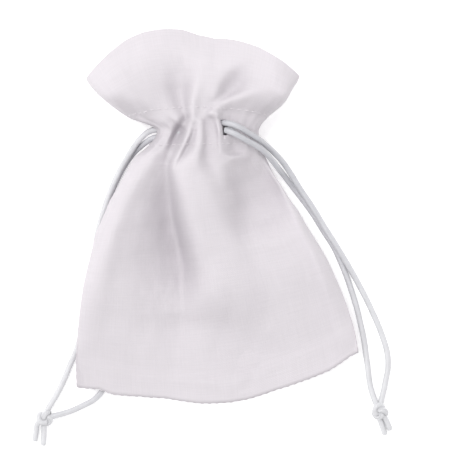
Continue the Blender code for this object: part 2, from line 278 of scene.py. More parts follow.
def knot_line(centre, turn):
    """An overhand knot's line: a trefoil, flattened a little where it lies on the table."""
    t = np.linspace(0, 2 * np.pi, 90, endpoint=False)
    wide = KNOT_SIZE + KNOT_SWING * np.cos(3 * t)
    flat = np.stack([
        wide * np.cos(2 * t), wide * np.sin(2 * t) * KNOT_STRETCH, KNOT_HALF_HEIGHT * np.sin(3 * t),
    ], axis=1)
    spin = np.array([
        [math.cos(turn), -math.sin(turn), 0], [math.sin(turn), math.cos(turn), 0], [0, 0, 1],
    ])
    cosine, sine = math.cos(KNOT_TIP), math.sin(KNOT_TIP)
    lean = np.array([[1, 0, 0], [0, cosine, -sine], [0, sine, cosine]])
    return flat @ lean.T @ spin.T + np.array(centre)


def add_knot(side, material):
    """The overhand knot at the end of one side's cord."""
    centre, turn = KNOTS[f"{side}_knot"], KNOT_TURNS[f"{side}_knot"]
    knot = tube(f"{side}_overhand_knot", knot_line(centre, turn), KNOT_CORD_RADIUS, material,
                ribs=0, closed=True, begun=KNOT_FROM)
    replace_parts(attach(knot, f"{side}_pull"), f"{side}_knot")
    return knot


def add_tail(side, word, material):
    """One cut end of the cord, out of the knot and down to the table."""
    node_name = f"{side}_tail_{word}"
    line = evenly(smooth_line(TAILS[node_name]), TAIL_STEP)
    towards = np.array(KNOTS[f"{side}_knot"]) - line[0]
    line = np.vstack([line[0] + towards * TAIL_ENTRY, line])
    tail = tube(f"{side}_{word}_tail", line, TAIL_RADIUS, material, end_share=TAIL_TIP,
                begun=KNOT_FROM)
    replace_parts(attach(tail, f"{side}_pull"), node_name)
    return tail


def add_strand(side, word, material):
    """One free strand, as an upper piece over the cloth and a lower one to the knot."""
    name = f"{side}_cord_{word}"
    line, cut = strand_line(name)
    begun = SHADE_RAMP_SHIFT.get(name, 0.0)
    top = tube(f"{name}_upper", line, CORD_RADIUS, material, keep=slice(0, cut + 1), begun=begun)
    low = tube(f"{name}_lower", line, CORD_RADIUS, material, keep=slice(cut, None), begun=begun)
    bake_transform(top)
    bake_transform(low)
    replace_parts(low, f"{name}_strand")


def add_cords(material):
    for side in ("right", "left"):
        knot = add_knot(side, material)
        tails = [add_tail(side, word, material) for word in ("long", "short")]
        for word in ("outer", "inner"):
            add_strand(side, word, material)


# ---- The pouch's form ----

BOTTOM = -52.4
CASING_LOW = 23.6
CASING_HIGH = 33.6
CASING_MIDDLE = (CASING_LOW + CASING_HIGH) / 2
FRILL_EDGE = 46.3
FLAT_SHARE = 0.30
RIM_GAP = 2.6
CLOTH = 0.3
TABLE_GAP = 0.12  # the least height of the cloth's outer side

# The cloths' flat sizes, round the pouch and along it, in metres
POUCH_CUT = (0.200, 0.131)

# Sections across the pouch: along, left and right rim, tilt, bow, lift of the rims, dome, roundness
SECTIONS = np.array([
    (-52.4, -48.1, 48.1, 0.0, -11.9, 4.8, 0.2, 0.0),
    (-40.0, -46.6, 46.8, 0.0, -8.5, 5.4, 4.5, 0.0),
    (-20.0, -42.1, 41.3, 0.0, -3.5, 5.8, 10.0, 0.0),
    (-2.0, -35.6, 33.3, 0.0, -0.5, 6.2, 14.0, 0.1),
    (8.0, -29.5, 28.5, -1.2, 0.0, 6.7, 16.0, 0.3),
    (15.0, -24.1, 25.5, -2.0, 0.0, 7.3, 17.0, 0.5),
    (20.5, -19.6, 24.1, -3.0, 0.0, 7.6, 17.2, 0.75),
    (24.5, -13.4, 23.4, -3.6, 0.0, 8.3, 17.2, 0.9),
    (28.6, -11.4, 23.4, -4.3, 0.0, 8.6, 17.2, 1.0),
    (32.6, -19.5, 26.5, -5.4, 2.0, 8.2, 17.6, 0.9),
    (37.0, -25.0, 32.6, -6.0, 6.5, 7.2, 18.0, 0.6),
    (42.0, -29.8, 36.3, -6.5, 12.0, 6.0, 16.0, 0.4),
    (46.3, -32.6, 39.0, -7.7, 18.0, 5.0, 10.0, 0.2),
])

# One soft fold: a line seen from above with, at each of its points, its height (below zero it's a
# hollow) and its half width to the left and to the right of its direction. Sharpness 2 is a
# rounded fold, and more is flat-topped with steep sides.
Fold = namedtuple("Fold", "line heights left right sharpness", defaults=[2])
FOLDS = [
    # the broad ridge down the middle of the body
    Fold([(-0.8, 19), (-0.6, 12), (1.2, 1), (4.2, -10), (7, -21), (9, -30)],
         [2.0, 2.6, 2.8, 2.2, 1.0, 0.3], [4.4, 6.2, 7.2, 8.6, 10, 11],
         [4.8, 7.2, 9.2, 11, 12, 12], 4),
    # the deep valley on that ridge's left, the shorter one on its right, and the left flank's swell
    Fold([(-8.8, 18.5), (-9.2, 12), (-9.4, 5), (-9.2, -2), (-8.4, -11), (-8.4, -20), (-10.5, -32)],
         [-1.6, -5.6, -9.2, -10.8, -11.0, -9.0, -3.8], [1.8, 2.6, 3.2, 3.5, 4.0, 5.5, 8],
         [4.4, 7.4, 11, 13.5, 15, 15.5, 15], 1.5),
    Fold([(14.4, 18), (17.8, 10), (20.0, 3), (21.4, -4), (22.4, -12)],
         [-2.6, -7.2, -9.2, -6.8, -1.4], [5.5, 8.5, 9.5, 9.5, 9], [5, 8, 9, 10, 10], 2.6),
    Fold([(-17, 16), (-24, 8), (-29.5, 0), (-34, -10), (-38, -22), (-41, -34)],
         [0.4, 1.2, 1.8, 2.0, 1.6, 0.6], [3, 4, 4, 4, 4.5, 5], [7, 12, 15, 17, 17, 14]),
    # the body's left and right shoulders
    Fold([(-11, 29), (-13.5, 23), (-20.5, 14), (-27, 4.5), (-32, -8), (-36, -25)],
         [1.0, 1.6, 1.0, 0.6, 0.4, 0.2], [2, 2.6, 3.0, 3.4, 4, 5], [2, 2.6, 3.6, 5, 6, 7]),
    Fold([(27, 10), (32, 0), (36.5, -12), (40, -28), (43, -44)],
         [0.4, 1.8, 3.0, 3.2, 1.8], [5, 8, 12, 13, 12], [2, 2.6, 3.0, 3.4, 4]),
    # a low swell across the body, and the slack cloth above the bottom seam
    Fold([(-9, -29), (-3, -28.5), (4, -28), (12, -29), (20, -31)],
         [0.8, 2.4, 3.0, 2.2, 0.6], [7, 9, 10, 9, 7], [6, 8, 9.5, 9, 7]),
    Fold([(-8, -36), (3, -40), (12, -47), (18, -53)],
         [-1.2, -2.6, -2.0, -0.5], [8, 9, 9, 8], [8, 9, 9, 8]),
    # the crease where the bottom seam's raw edge ends inside, and a slight sag of the seam
    Fold([(-46, -44.4), (-27, -51), (-7, -55.3), (8, -55.6), (28, -51), (47, -43.4)],
         [0.2, 0.45, 0.5, 0.5, 0.45, 0.2], [0.8] * 6, [3.0] * 6, 2),
    Fold([(-5, -56), (2, -60), (9, -56)], [0.35, 0.6, 0.35], [2, 2, 2], [2, 2, 2]),
    # two fine ridges that run down from the gathers, and the slit between them
    Fold([(0.6, 31), (-1.4, 26.6), (-4.4, 21.6), (-7.0, 17), (-7.4, 12)],
         [0.8, 1.4, 1.6, 1.4, 0.3], [1.0, 1.2, 1.3, 1.3, 1.4], [0.9, 1.0, 1.1, 1.2, 1.4]),
    Fold([(1.8, 28.4), (-0.4, 24.4), (-3.0, 20.6), (-5.8, 17.2)],
         [-0.5, -1.3, -1.0, -0.2], [0.8, 1.0, 0.9, 0.6], [0.8, 1.0, 0.9, 0.6]),
    Fold([(3.8, 31), (3.2, 26.5), (2.2, 22), (0, 18)],
         [1.1, 1.5, 1.4, 0.8], [1.3, 1.6, 2.0, 2.6], [1.1, 1.4, 1.8, 2.4], 3),
    # the cleft between the left shoulder and the fine ridges
    Fold([(-0.6, 33), (-3.0, 30.2), (-5.4, 26.4), (-7.2, 22.4), (-9.2, 18.2)],
         [-1.0, -3.2, -3.2, -1.6, -0.6], [1.6, 2.4, 3.0, 3.0, 3.0], [1.0, 1.3, 1.5, 1.6, 1.8]),
    # the pocket that the right cord comes out of, the pleat on its left, its lip and the hollow
    # between that pleat and the fine ridges
    Fold([(13.4, 30), (15.0, 26.6), (15.6, 23.0)],
         [-0.4, -0.6, -0.6], [2.4, 3.2, 3.4], [3.4, 4.0, 4.0], 2.6),
    Fold([(9.4, 32), (9.9, 27), (9.6, 21)],
         [1.3, 2.0, 1.0], [1.4, 1.6, 1.6], [0.8, 0.7, 1.0]),
    Fold([(9.8, 19.4), (13.5, 18.2), (17.8, 17.8)],
         [0.9, 1.6, 0.8], [1.0, 1.3, 1.0], [1.8, 2.4, 1.8]),
    Fold([(6.4, 31), (6.2, 26), (5.8, 21), (6.2, 16)],
         [-0.4, -0.8, -0.9, -0.6], [1.2, 1.4, 1.8, 2.4], [1.4, 1.6, 2.2, 2.8]),
    # the bright tuck at the top of the pocket
    Fold([(7.6, 33.6), (10, 33.2), (13, 32.2)],
         [1.5, 1.8, 0.8], [1.3, 1.3, 1.0], [1.3, 1.3, 1.0]),
    # the frill: a soft hollow, a ridge, a leaf-shaped hollow, a fine fold, the hollow under it and
    # the round fold over the leaf
    Fold([(-0.8, 33), (-1.2, 38), (-1.4, 43), (-0.8, 48.4), (0.4, 55)],
         [-1.2, -2.8, -4.2, -3.0, -0.8], [1.4, 3.4, 5.4, 6.4, 7.0], [1.2, 2.0, 3.2, 4.2, 4.8]),
    Fold([(1.8, 32), (2.6, 38), (5.0, 45), (7.4, 52)],
         [1.0, 1.2, 0.9, 0.4], [1.1, 1.6, 2.2, 2.8], [1.1, 1.8, 2.8, 3.4]),
    Fold([(11.0, 36.8), (14.6, 39.8), (18.8, 42.8), (23, 46.5)],
         [-0.7, -1.8, -2.0, -0.7], [2.4, 3.6, 4.4, 4.2], [1.2, 1.8, 3.0, 4.0]),
    Fold([(8, 33.6), (11, 36.2), (16, 37.8), (22, 38.8), (27, 40.0)],
         [0.9, 1.2, 1.1, 0.8, 0.3], [1.0, 1.2, 1.3, 1.5, 1.7], [1.2, 1.6, 2.0, 2.2, 2.4]),
    Fold([(12, 32.6), (18, 33.8), (25, 34.9), (31, 36.6)],
         [-0.9, -0.9, -0.4, -0.1], [1.8, 2.2, 2.6, 2.8], [2.2, 3.2, 3.6, 3.4]),
    Fold([(9.4, 39.6), (13.5, 46.0), (19.5, 50.4), (27, 51.6), (35, 48)],
         [0.8, 1.4, 1.6, 1.4, 0.8], [2.4, 4.0, 5.0, 5.4, 5.0], [1.6, 2.6, 3.4, 3.8, 4.0]),
    # the frill flares up again towards its right rim
    Fold([(25, 45), (31, 46.5), (36, 44.5)],
         [1.0, 2.2, 1.4], [7, 7, 6], [5, 6, 5]),
    # the frill's left: a low ridge and the hollow beside it
    Fold([(-8, 34), (-13, 39), (-18, 45), (-21, 51)],
         [0.8, 1.2, 1.0, 0.6], [2.4, 4, 6, 6], [2.0, 3.2, 5, 5.5]),
    Fold([(-11.5, 33), (-17, 36.6), (-22, 41)],
         [-0.6, -0.8, -0.4], [1.4, 2.0, 2.4], [1.4, 2.0, 2.4]),
]

# How the frill's top edge strays from an even curve: share across, and how much further it runs
EDGE = [(-1, 0), (-0.82, 0.6), (-0.6, 1.2), (-0.42, 0.6), (-0.2, -0.8), (-0.02, -2.0), (0.1, -3.4),
        (0.25, -3.8), (0.42, -2.2), (0.65, -0.4), (0.85, 0.2), (1, 0)]
# The same for the bottom edge
FOOT = [(-1, -0.6), (-0.84, 1.3), (-0.76, 0.6), (-0.57, 1.8), (-0.39, 2.2), (-0.15, 0.6), (0.06, 0),
        (0.2, 0), (0.39, 0.6), (0.57, 0.3), (0.79, -0.4), (0.94, 0.4), (1, 0)]

FOLD_REACH = 2.6  # beyond this many half widths a fold adds nothing

# The rows along the pouch stand closer from the gathers up
PER_SIDE = 150
ROUND = 2 * PER_SIDE  # the columns round the pouch, starting at its left rim
FINE_FROM = 16.0
BODY_ROWS = np.linspace(BOTTOM, FINE_FROM, 60)
NECK_ROWS = np.linspace(FINE_FROM, FRILL_EDGE, 72)[1:]

# How the gap and the dome grow from the bottom seam: their share at it, from where, over what length
GAP_GROWTH = (0.35, 7.0, 12.0)
DOME_GROWTH = (0.12, 9.0, 26.0)
# Below and above the neck the pouch stays full almost to its rims: from where, over what length
FULL_BELOW = (-24.0, 34.0)
FULL_ABOVE = (32.0, 8.0)
FULL_DOME_LOSS = 0.22
# The frill's right and left rims stand higher: which side, by how much and from which share across
RIM_RAISES = [(1, 8.0, 0.45), (-1, 4.5, 0.4)]
RIM_RAISE_CURVE = 2.2

# The waves of the gathers: how many go round the pouch, phase, strength and drift along it
PLEAT_WAVES = [(17, 0.8, 1.0, 1), (27, 2.1, 0.6, -1), (11, 0.3, 0.5, 0)]
PLEAT_REACH_UP = 9.0
PLEAT_REACH_DOWN = 12.0
PLEAT_DEPTH_FRONT = 0.35
PLEAT_DEPTH_BACK = 1.1
PLEAT_SINK = 0.4  # pleats go in more than out


def section_rows(along):
    """The sections at the given places along the pouch, by the same smooth curve as the CAD's."""
    places = SECTIONS[:, 0]
    along = np.clip(along, places[0], places[-1])
    index = np.clip(np.searchsorted(places, along, side="right") - 1, 0, len(places) - 2)
    share = ((along - places[index]) / (places[index + 1] - places[index]))[:, None]
    before, after = np.maximum(index - 1, 0), np.minimum(index + 2, len(places) - 1)
    four = (SECTIONS[k] for k in (before, index, index + 1, after))
    return between(*four, share)[:, 1:]


def smooth(share):
    share = np.clip(share, 0.0, 1.0)
    return share * share * (3 - 2 * share)


def columns():
    """Round the pouch: left rim, front, right rim, back. The share across, and 1 on the front."""
    angles = np.linspace(-0.5, 1.5, ROUND, endpoint=False) * np.pi
    front = (np.arange(ROUND) <= PER_SIDE).astype(float)
    return np.sin(angles), front


def grown(along, growth):
    """The share, at each place along the pouch, of what grows from the bottom seam."""
    least, start, length = growth
    return least + (1 - least) * smooth((along[:, None] - BOTTOM - start) / length)


def base_form(along):
    """The unfolded outer surface: points in rows along and columns round the pouch."""
    across, front = columns()
    left, right, tilt, bow, lift, dome, roundness = (
        column[:, None] for column in section_rows(along).T
    )
    middle, half = (left + right) / 2, (right - left) / 2
    a = np.abs(across)[None, :]
    rise = np.clip((a - FLAT_SHARE) / (1 - FLAT_SHARE), 0, 1)
    height = lift * (
        1 - np.maximum(0, 1 - rise ** (1.6 + 0.4 * roundness)) ** (1 / (1.1 + 0.9 * roundness))
    )
    gap = RIM_GAP * grown(along, GAP_GROWTH)
    low = 1 - smooth((along[:, None] - FULL_BELOW[0]) / FULL_BELOW[1])
    high = smooth((along[:, None] - FULL_ABOVE[0]) / FULL_ABOVE[1])
    full = smooth(a / 0.6) * np.maximum(low, high)
    dome = dome * grown(along, DOME_GROWTH) * (1 - FULL_DOME_LOSS * low)
    # the dome is a power curve across, squarer where the pouch is full and rounder at the neck
    power = 2 + 0.5 * roundness + 5.5 * full
    root = 0.75 - 0.25 * roundness - 0.33 * full
    back = height + RIM_GAP / 2 * a**9
    fore = back + gap * (1 - a**9) + dome * np.maximum(0, 1 - a**power) ** root
    z = np.where(front[None, :] > 0, fore, back)
    for side, raised, start in RIM_RAISES:
        share = np.clip((side * across[None, :] - start) / (1 - start), 0, 1)
        z = z + high * raised * share**RIM_RAISE_CURVE
    x = middle + half * across[None, :]
    y = along[:, None] + tilt * across[None, :] / 2 + bow * (1 - across[None, :] ** 2)
    edge_fade = smooth((along - 36) / 10.0)
    foot_fade = 1 - smooth((along - BOTTOM) / 9.0)
    for strays, fade in ((EDGE, edge_fade), (FOOT, foot_fade)):
        y = y + np.interp(across, *zip(*strays))[None, :] * fade[:, None]
    return np.stack([x, y, z], axis=2)


def grid_normals(points):
    """Outward normals of a surface whose rows close round the pouch."""
    round_it = np.roll(points, -1, axis=1) - np.roll(points, 1, axis=1)
    return unit(np.cross(round_it, np.gradient(points, axis=0)))


def fold_heights(x, y):
    """What the folds add to the height at each place, seen from above."""
    total = np.zeros_like(x)
    for fold in FOLDS:
        line = smooth_line(fold.line, 24)
        at = np.linspace(0, len(fold.line) - 1, len(line))
        heights, left, right = (
            np.interp(at, np.arange(len(fold.line)), values) for values in fold[1:4]
        )
        reach = FOLD_REACH * max(max(fold.left), max(fold.right))
        low, high = line.min(0) - reach, line.max(0) + reach
        near = (x > low[0]) & (x < high[0]) & (y > low[1]) & (y < high[1])
        place = np.stack([x[near], y[near]], axis=1)
        nearest = ((place[:, None] - line[None]) ** 2).sum(axis=2).argmin(axis=1)
        tangents = unit(np.gradient(line, axis=0))
        tangent, step = tangents[nearest], place - line[nearest]
        beside = tangent[:, 0] * step[:, 1] - tangent[:, 1] * step[:, 0]
        beyond = (tangent * step).sum(axis=1)
        wide = np.where(beside > 0, left[nearest], right[nearest])
        end = (left[nearest] + right[nearest]) / 2
        total[near] += heights[nearest] * np.exp(
            -(np.abs(beside / wide) ** fold.sharpness) - (beyond / end) ** 2
        )
    return total


def pleats(along):
    """Small gathers all round the casing, and deeper ones on the back, where no fold is drawn."""
    turn = np.arange(ROUND) / ROUND * 2 * np.pi
    _, front = columns()
    wander = 0.10 * np.sin(along / 5.0)[:, None]
    wave = sum(
        strength * np.sin(number * (turn + drift * wander) + phase)
        for number, phase, strength, drift in PLEAT_WAVES
    ) / sum(strength for _, _, strength, _ in PLEAT_WAVES)
    reach = np.where(along > CASING_MIDDLE, PLEAT_REACH_UP, PLEAT_REACH_DOWN)
    near = np.exp(-(((along - CASING_MIDDLE) / reach) ** 2))[:, None]
    depth = np.where(front[None, :] > 0, PLEAT_DEPTH_FRONT, PLEAT_DEPTH_BACK)
    return near * depth * (wave - PLEAT_SINK)


def small_wrinkles(points):
    """The cloth's own unevenness, a few tenths of a millimetre."""
    heights = [
        0.34 * noise.noise((x * 0.10, y * 0.06, z * 0.1))
        + 0.11 * noise.noise((x * 0.27 + 7, y * 0.2, z * 0.2))
        for x, y, z in points.reshape(-1, 3).tolist()
    ]
    return np.reshape(heights, points.shape[:2])


def folded_form(along):
    """The outer cloth with its folds, which fade out at the rims, the seam and on steep sides."""
    points = base_form(along)
    across, front = columns()
    normals = grid_normals(points)
    above = np.clip(normals[..., 2] * 1.6, 0, 1) * front[None, :]
    rim = (1 - np.abs(across) ** 20)[None, :]
    seam = smooth((along[:, None] - BOTTOM + 0.5) / 6.0)
    heights = fold_heights(points[..., 0], points[..., 1])
    points[..., 2] += heights * above * rim * seam
    push = (pleats(along) + small_wrinkles(points)) * rim * seam
    points += normals * push[..., None]
    points[..., 2] = np.maximum(points[..., 2], TABLE_GAP)
    return points


def cloth_places(points):
    """How far each grid point is across and along the cloth, in millimetres."""
    round_it = np.linalg.norm(np.roll(points, -1, axis=1) - points, axis=2)
    widths = round_it.mean(axis=0)
    widths = widths / widths.sum() * POUCH_CUT[0] / MM
    u = np.concatenate([[0.0], np.cumsum(widths)[:-1]])
    steps = np.linalg.norm(np.diff(points, axis=0), axis=2).mean(axis=1)
    v = np.concatenate([[0.0], np.cumsum(steps)])
    return u, v


def thicken(obj, thickness):
    """Give a surface its thickness, inwards, as part of the mesh."""
    solid = obj.modifiers.new("cloth", "SOLIDIFY")
    solid.thickness = thickness * MM
    solid.offset = -1
    bpy.context.view_layer.update()
    graph = bpy.context.evaluated_depsgraph_get()
    thick = bpy.data.meshes.new_from_object(
        obj.evaluated_get(graph), preserve_all_data_layers=True, depsgraph=graph
    )
    thin = obj.data
    obj.modifiers.clear()
    obj.data = thick
    bpy.data.meshes.remove(thin)


FOLD_DEPTH = 0.9  # between the two plies at the frill's top edge
FACING_DEPTH = 4.4  # how much deeper the facing hangs at the casing, clear of the cords
FACING_EDGE = CASING_LOW + 0.6

# Where the cloth is open for the right and left cord: from and to along, and columns round it
EXITS = [((26.2, 31.1), (90, 93)), ((26.2, 32.2), (-4, 4))]
EXIT_END = 0.8  # the length over which an exit narrows to its end
EXIT_LEAST = 0.35


def at_exit(row, column, along):
    """Whether this face of the cloth is left open."""
    place = (along[row] + along[row + 1]) / 2
    for (low, high), (first, last) in EXITS:
        end = min(place - low, high - place) / EXIT_END
        shift = (column + 0.5 - (first + last + 1) / 2 + PER_SIDE) % ROUND - PER_SIDE
        if end > 0 and abs(shift) < (last - first + 1) / 2 * min(1.0, EXIT_LEAST + end):
            return True
    return False


def turned_edge(outer, normals):
    """The rows by which the cloth's top edge turns over in a small round fold."""
    top, inward, upward = outer[-1], -normals[-1], unit(outer[-1] - outer[-2])
    radius = FOLD_DEPTH / 2
    return [
        top + inward * radius * (1 - math.cos(angle)) + upward * radius * math.sin(angle)
        for angle in np.radians([45, 90, 135, 180])
    ]


def bottom_faces():
    """The faces that join the front's bottom edge to the back's."""
    faces = []
    for i in range(PER_SIDE):
        corners = [i, (ROUND - i) % ROUND, (ROUND - i - 1) % ROUND, i + 1]
        face = tuple(dict.fromkeys(corners))
        if len(face) >= 3:
            faces.append(face)
    return faces


def add_pouch(outer, normals, along, material):
    """The pouch cloth, with the exits left open. Also its grid of points and its own places."""
    rows = np.concatenate([outer, turned_edge(outer, normals)])
    faces = [
        face for k, face in enumerate(grid_faces(len(rows), ROUND))
        if k // ROUND >= len(along) - 1 or not at_exit(k // ROUND, k % ROUND, along)
    ]
    u, v = cloth_places(rows)
    places = np.stack([np.tile(u, len(rows)), np.repeat(v, ROUND)], axis=1)
    faces += bottom_faces()
    pouch = mesh_object("pouch_cloth", rows.reshape(-1, 3), faces, places, material)
    thicken(pouch, CLOTH)
    return pouch, rows, u, v


def add_facing(outer, normals, along, u, v, material):
    """The facing hangs from the frill's fold, down inside the casing."""
    low = int(np.searchsorted(along, FACING_EDGE))
    downward = along[low:][::-1]
    room = smooth((CASING_HIGH + 1.5 - downward) / 3.0)[:, None]
    keep = 1 - room
    plain = base_form(downward)
    inner = outer[low:][::-1] * keep[..., None] + plain * room[..., None]
    # rows that run down have their normals pointing in, so the second term is taken away
    mixed = normals[low:][::-1] * keep[..., None] - grid_normals(plain) * room[..., None]
    depth = FOLD_DEPTH + FACING_DEPTH * room
    inner = inner - unit(mixed) * depth[..., None]
    hung = v[-1] + downward[0] - downward
    places = np.stack([np.tile(u, len(inner)), np.repeat(hung, ROUND)], axis=1)
    faces = grid_faces(len(inner), ROUND)
    facing = mesh_object("pouch_facing", inner.reshape(-1, 3), faces, places, material)
    thicken(facing, CLOTH)
    return facing


# ---- Materials ----


def new_material(name):
    material = bpy.data.materials.new(name)
    material.use_nodes = True
    return material, material.node_tree, material.node_tree.nodes["Principled BSDF"]


def node(tree, kind, **values):
    made = tree.nodes.new("ShaderNode" + kind)
    for key, value in values.items():
        setattr(made, key, value)
    return made


def math_node(tree, operation, first, second=None):
    made = node(tree, "Math", operation=operation)
    for socket, value in zip(made.inputs, (first, second)):
        if value is None:
            continue
        if isinstance(value, (int, float)):
            socket.default_value = value
        else:
            tree.links.new(value, socket)
    return made.outputs[0]


def place_axes(tree):
    uv = node(tree, "UVMap", uv_map="place")
    split = node(tree, "SeparateXYZ")
    tree.links.new(uv.outputs[0], split.inputs[0])
    return uv.outputs[0], split.outputs[0], split.outputs[1]


def noise_at(tree, vector, scale, detail=2.0):
    mapping = node(tree, "Mapping")
    mapping.inputs["Scale"].default_value = scale
    tree.links.new(vector, mapping.inputs["Vector"])
    made = node(tree, "TexNoise")
    made.inputs["Scale"].default_value = 1.0
    made.inputs["Detail"].default_value = detail
    tree.links.new(mapping.outputs[0], made.inputs["Vector"])
    return made.outputs["Fac"]


def ramp(tree, factor, stops):
    made = node(tree, "ValToRGB")
    tree.links.new(factor, made.inputs[0])
    elements = made.color_ramp.elements
    while len(elements) < len(stops):
        elements.new(0.5)
    for element, (place, color) in zip(elements, stops):
        element.position = place
        element.color = (*color, 1.0)
    return made.outputs[0]


def set_inputs(target, values):
    for key, value in values.items():
        target.inputs[key].default_value = value


def add_bump(tree, shader, height, strength, distance):
    """Bumps on a shader, with the distance in millimetres."""
    bump = node(tree, "Bump")
    set_inputs(bump, {"Strength": strength, "Distance": distance * MM})
    tree.links.new(height, bump.inputs["Height"])
    tree.links.new(bump.outputs[0], shader.inputs["Normal"])
    return bump.outputs[0]


def add_roughness(tree, shader, value, least, most):
    rough = node(tree, "MapRange")
    set_inputs(rough, {"To Min": least, "To Max": most})
    tree.links.new(value, rough.inputs["Value"])
    tree.links.new(rough.outputs[0], shader.inputs["Roughness"])


def mix_colors(tree, factor, first, second, blend="MIX"):
    made = node(tree, "Mix", data_type="RGBA", blend_type=blend)
    if isinstance(factor, float):
        made.inputs[0].default_value = factor
    else:
        tree.links.new(factor, made.inputs[0])
    for socket, value in ((made.inputs[6], first), (made.inputs[7], second)):
        if isinstance(value, tuple):
            socket.default_value = (*value, 1.0)
        else:
            tree.links.new(value, socket)
    return made.outputs[2]


YARN = 0.42  # from one yarn to the next
WHITE = (1.0, 1.0, 1.0)
SLUB_TONE = (0.93, 0.93, 0.93)
# How far around a hollow is looked for, and the tone of the deepest: painted shade that darkens the
# cloth's colour in its hollows
HOLLOW_SHADE_REACH = 26 * MM
HOLLOW_SHADE_TONE = (0.74, 0.73, 0.745)
# The two tones that each material varies between
POUCH_TONES = ((0.845, 0.805, 0.84), (0.80, 0.76, 0.797))
FACING_TONES = ((0.85, 0.82, 0.85), (0.81, 0.78, 0.81))
RAW_EDGE_TONES = ((0.90, 0.88, 0.90), (0.86, 0.84, 0.86))
# the thread's tones are darkened as painted shade, to match the shaded cloth around the stitches
THREAD_SHADE_TONES = ((0.70, 0.665, 0.695), (0.80, 0.765, 0.795))
# The cord's near tones are painted shade for the exit and neck, and all its tones are kept greyer
# than the white satin, as painted shade for its shaded sides
CORD_TONES = ((0.45, 0.45, 0.48), (0.57, 0.57, 0.60))
PALE_CORD_TONES = ((0.58, 0.58, 0.60), (0.69, 0.69, 0.71))
SHADE_FADE_BETWEEN = (20.0, 110.0)  # the lengths from the exit over which the cord turns paler
# The share of the light that goes through
CLOTH_THROUGH = 0.26
RAW_EDGE_THROUGH = 0.15
PLY_TWIST = 9.0  # radians a millimetre
CORD_PLIES = 6


def weave_height(tree, u, v, slubs):
    """How high the cloth stands at each place: yarns over and under, gaps between, and slubs."""
    turns = [math_node(tree, "MULTIPLY", axis, math.pi / YARN) for axis in (u, v)]
    woven = math_node(tree, "MULTIPLY", *(math_node(tree, "SINE", turn) for turn in turns))
    gaps = math_node(tree, "MAXIMUM", *(
        math_node(tree, "ABSOLUTE", math_node(tree, "COSINE", turn)) for turn in turns
    ))
    height = math_node(tree, "ADD", math_node(tree, "MULTIPLY", woven, 0.5),
                       math_node(tree, "MULTIPLY", slubs, 1.2))
    return math_node(tree, "SUBTRACT", height, math_node(tree, "MULTIPLY", gaps, 0.35))


def cloth_material(name, tones, through):
    """Plain-woven thin cloth: yarns over and under, slubs, a little light through it, and painted
    shade darkening its hollows.
    """
    material, tree, shader = new_material(name)
    vector, u, v = place_axes(tree)
    slub_along = noise_at(tree, vector, (2.4, 0.10, 1.0), 3.0)
    slub_across = noise_at(tree, vector, (0.09, 2.4, 1.0), 3.0)
    slubs = math_node(tree, "ADD", slub_along, slub_across)
    cloudy = noise_at(tree, vector, (0.06, 0.05, 1.0), 3.0)
    color = mix_colors(tree, cloudy, *tones)
    slub_tone = ramp(tree, math_node(tree, "MULTIPLY", slubs, 0.5),
                     [(0.35, SLUB_TONE), (0.62, WHITE)])
    color = mix_colors(tree, 0.7, color, slub_tone, "MULTIPLY")
    # painted shade: the cloth's colour is darkened in its hollows and creases, by how much of the
    # cloth around covers them
    hollow = node(tree, "AmbientOcclusion", samples=12, only_local=True)
    set_inputs(hollow, {"Distance": HOLLOW_SHADE_REACH})
    painted_hollow_shade = ramp(tree, hollow.outputs["AO"], [(0.45, HOLLOW_SHADE_TONE), (0.95, WHITE)])
    color = mix_colors(tree, 1.0, color, painted_hollow_shade, "MULTIPLY")
    tree.links.new(color, shader.inputs["Base Color"])
    add_roughness(tree, shader, slub_along, 0.78, 0.95)
    set_inputs(shader, {"Sheen Weight": 0.25, "Sheen Roughness": 0.5, "Specular IOR Level": 0.25})
    normal = add_bump(tree, shader, weave_height(tree, u, v, slubs), 0.35, 0.05)
    behind = node(tree, "BsdfTranslucent")
    tree.links.new(color, behind.inputs["Color"])
    tree.links.new(normal, behind.inputs["Normal"])
    both = node(tree, "MixShader")
    both.inputs[0].default_value = through
    tree.links.new(shader.outputs[0], both.inputs[1])
    tree.links.new(behind.outputs[0], both.inputs[2])
    tree.links.new(both.outputs[0], tree.nodes["Material Output"].inputs["Surface"])
    return material


def satin_material(name):
    """Satin cord: fine slanting floats, a soft shine along the cord, and painted shade that darkens
    it near the exit, paler away from it.
    """
    material, tree, shader = new_material(name)
    vector, along, turn = place_axes(tree)
    slant = math_node(tree, "ADD", math_node(tree, "MULTIPLY", along, PLY_TWIST),
                      math_node(tree, "MULTIPLY", turn, 2 * math.pi * CORD_PLIES))
    patches = noise_at(tree, vector, (0.5, 3.0, 1.0), 3.0)
    # painted shade: from the darker tones at the exit to the paler ones further along the cord
    paler = node(tree, "MapRange", interpolation_type="SMOOTHSTEP")
    set_inputs(paler, {"From Min": SHADE_FADE_BETWEEN[0], "From Max": SHADE_FADE_BETWEEN[1]})
    tree.links.new(along, paler.inputs["Value"])
    near, far = (mix_colors(tree, patches, *tones) for tones in (CORD_TONES, PALE_CORD_TONES))
    color = mix_colors(tree, paler.outputs[0], near, far)
    tree.links.new(color, shader.inputs["Base Color"])
    add_roughness(tree, shader, patches, 0.28, 0.42)
    set_inputs(shader, {"Sheen Weight": 0.15})
    add_bump(tree, shader, math_node(tree, "SINE", slant), 0.5, 0.06)
    return material


